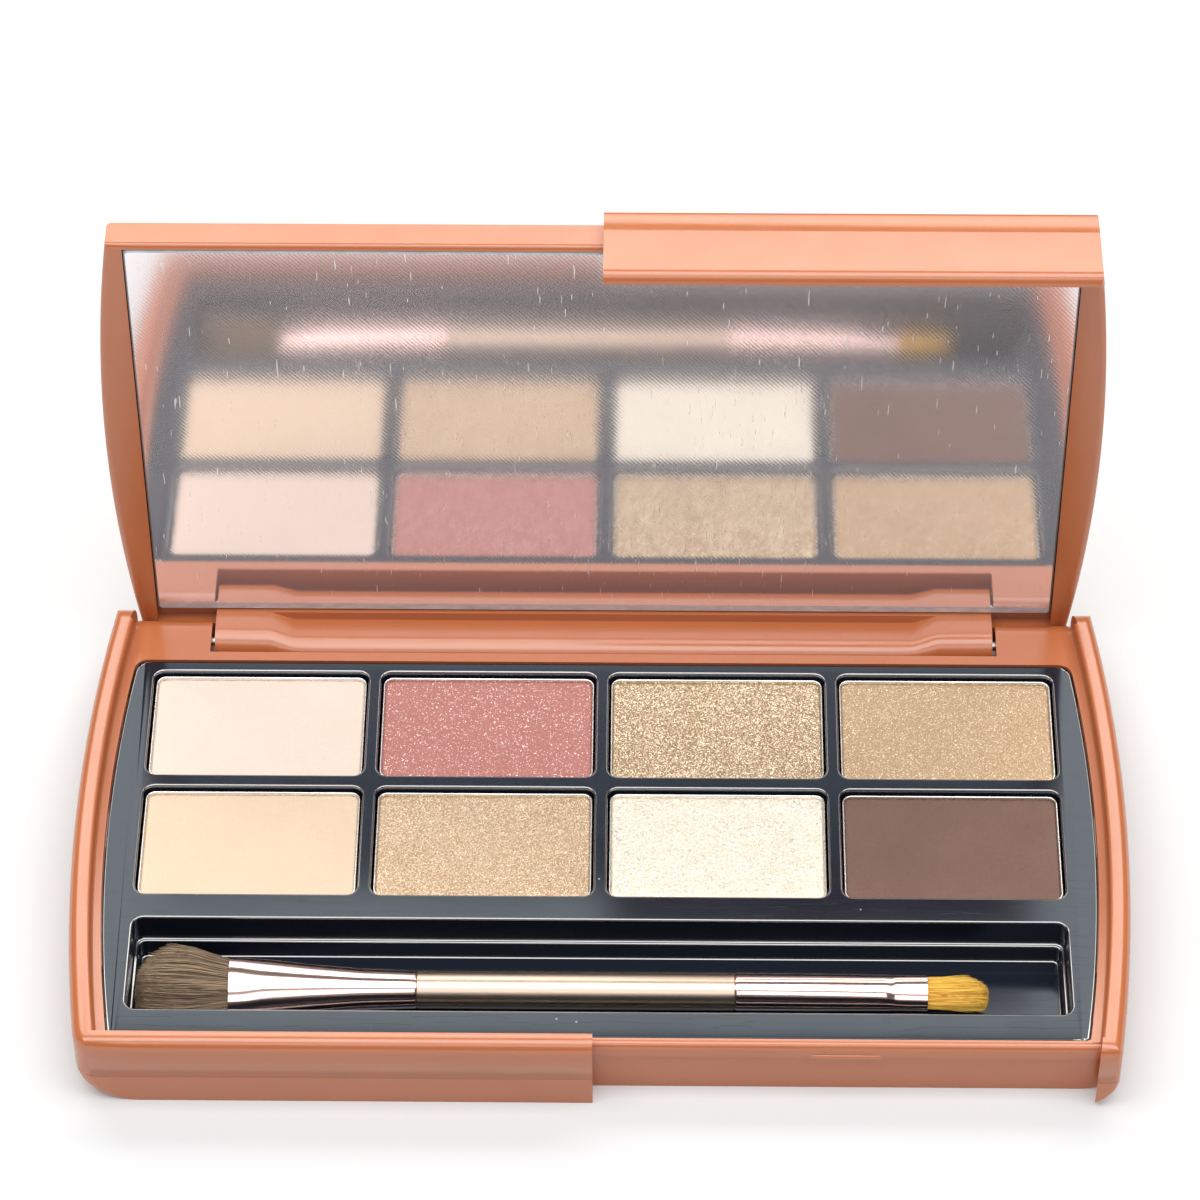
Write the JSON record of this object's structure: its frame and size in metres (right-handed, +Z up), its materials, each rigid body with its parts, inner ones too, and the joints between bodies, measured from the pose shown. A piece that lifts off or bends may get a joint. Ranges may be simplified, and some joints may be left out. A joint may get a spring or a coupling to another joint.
{
  "type": "eyeshadow palette",
  "caption": "Hinged makeup compact with bowed sides, a mirror in the lid, pressed powders in metal pans and a double-ended brush in a well.",
  "frame": {"origin": "centre of the flat underside", "axes": "+X along the hinge, +Y towards the hinge side, +Z up; the lid stands open"},
  "size_m": [0.1258, 0.0756, 0.0715],
  "materials": {
    "terracotta_plastic": "satin moulded ABS",
    "tray_black": "glossy black moulded plastic",
    "pan_metal": "pressed aluminium pan",
    "glue_pad": "adhesive pad",
    "mirror_glass": "silvered acrylic mirror",
    "pin_steel": "bright steel wire",
    "handle_champagne": "satin champagne metallic lacquer",
    "ferrule_rose": "polished rose-gold plate",
    "hair_brown": "soft natural hair",
    "hair_golden": "smooth synthetic hair",
    "ivory_matte": "matte pressed powder",
    "rose_glitter": "pressed powder with fine glitter",
    "gold_shimmer": "metallic pressed powder",
    "tan_satin": "satin pressed powder",
    "peach_matte": "matte pressed powder",
    "copper_glitter": "pressed powder with coarse glitter",
    "champagne_glitter": "foil-like pressed glitter",
    "dark_brown_matte": "matte pressed powder"
  },
  "bodies": {
    "base": {"base_cover": "terracotta_plastic", "base_frame": "terracotta_plastic", "tray": "tray_black", "pan_1": "pan_metal", "pan_2": "pan_metal", "pan_3": "pan_metal", "pan_4": "pan_metal", "pan_5": "pan_metal", "pan_6": "pan_metal", "pan_7": "pan_metal", "pan_8": "pan_metal", "powder_1": "ivory_matte", "powder_2": "rose_glitter", "powder_3": "gold_shimmer", "powder_4": "tan_satin", "powder_5": "peach_matte", "powder_6": "copper_glitter", "powder_7": "champagne_glitter", "powder_8": "dark_brown_matte", "pan_adhesive": "glue_pad", "hinge_pin_left": "pin_steel", "hinge_pin_right": "pin_steel"},
    "lid": {"lid_cover": "terracotta_plastic", "lid_frame": "terracotta_plastic", "mirror": "mirror_glass", "mirror_adhesive": "glue_pad"},
    "brush": {"brush_handle": "handle_champagne", "ferrule_large": "ferrule_rose", "ferrule_small": "ferrule_rose", "bristles_large": "hair_brown", "bristles_small": "hair_golden"}
  },
  "joints": [
    {"name": "lid_hinge", "type": "hinge", "parent": "base", "child": "lid", "pos_m": [0, 0.03145, 0.006], "axis": [1, 0, 0], "range_deg": [0, 93]},
    {"name": "brush_lift", "type": "slide", "parent": "base", "child": "brush", "axis": [0, 0, 1], "range_m": [0, 0.04]}
  ]
}
